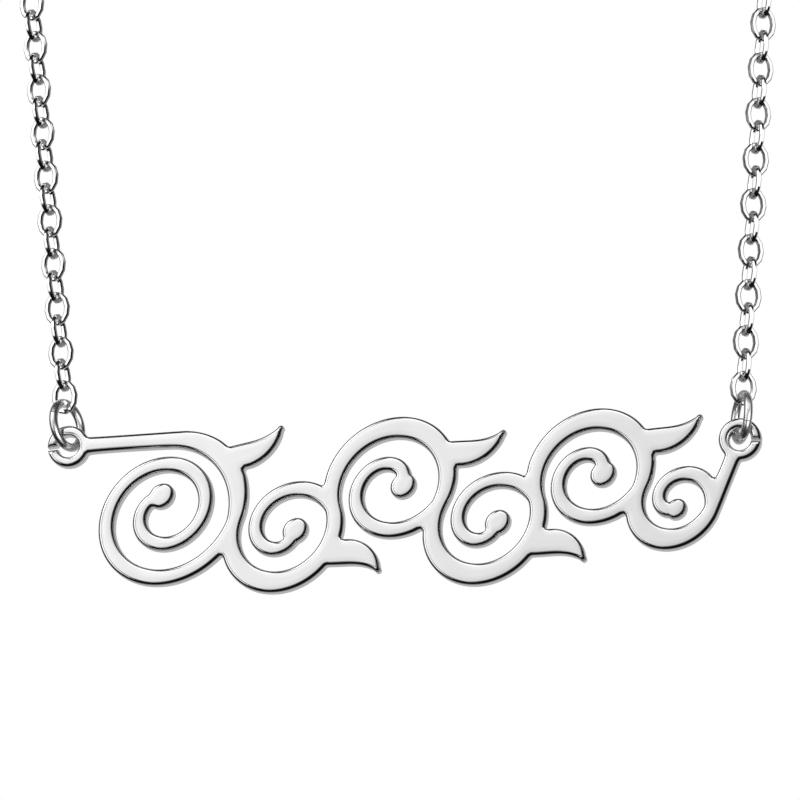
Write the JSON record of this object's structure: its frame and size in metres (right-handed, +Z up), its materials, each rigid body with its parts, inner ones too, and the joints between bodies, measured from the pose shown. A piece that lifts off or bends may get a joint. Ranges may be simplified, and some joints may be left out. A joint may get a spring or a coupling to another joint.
{
  "type": "nameplate necklace",
  "caption": "Necklace with a flat cut-out scroll plate, hung from eyelets and jump rings on a fine cable chain that closes at the nape.",
  "frame": {"origin": "the middle of the clasp's hoop, at the nape, where the necklace rests on the back of the neck", "axes": "+Z up, -Y toward the front, where the plate hangs, and +X to the viewer's right when the plate is seen from the front"},
  "size_m": [0.117, 0.1132, 0.0901],
  "materials": {
    "plate": "polished",
    "rings": "polished",
    "chain": "polished",
    "clasp": "polished"
  },
  "bodies": {
    "root": {"scroll_plate": "plate", "jump_ring_left": "rings", "jump_ring_right": "rings", "chain_left": "chain", "chain_right": "chain", "end_ring_left": "rings", "end_ring_right": "rings", "clasp": "clasp"}
  },
  "joints": []
}
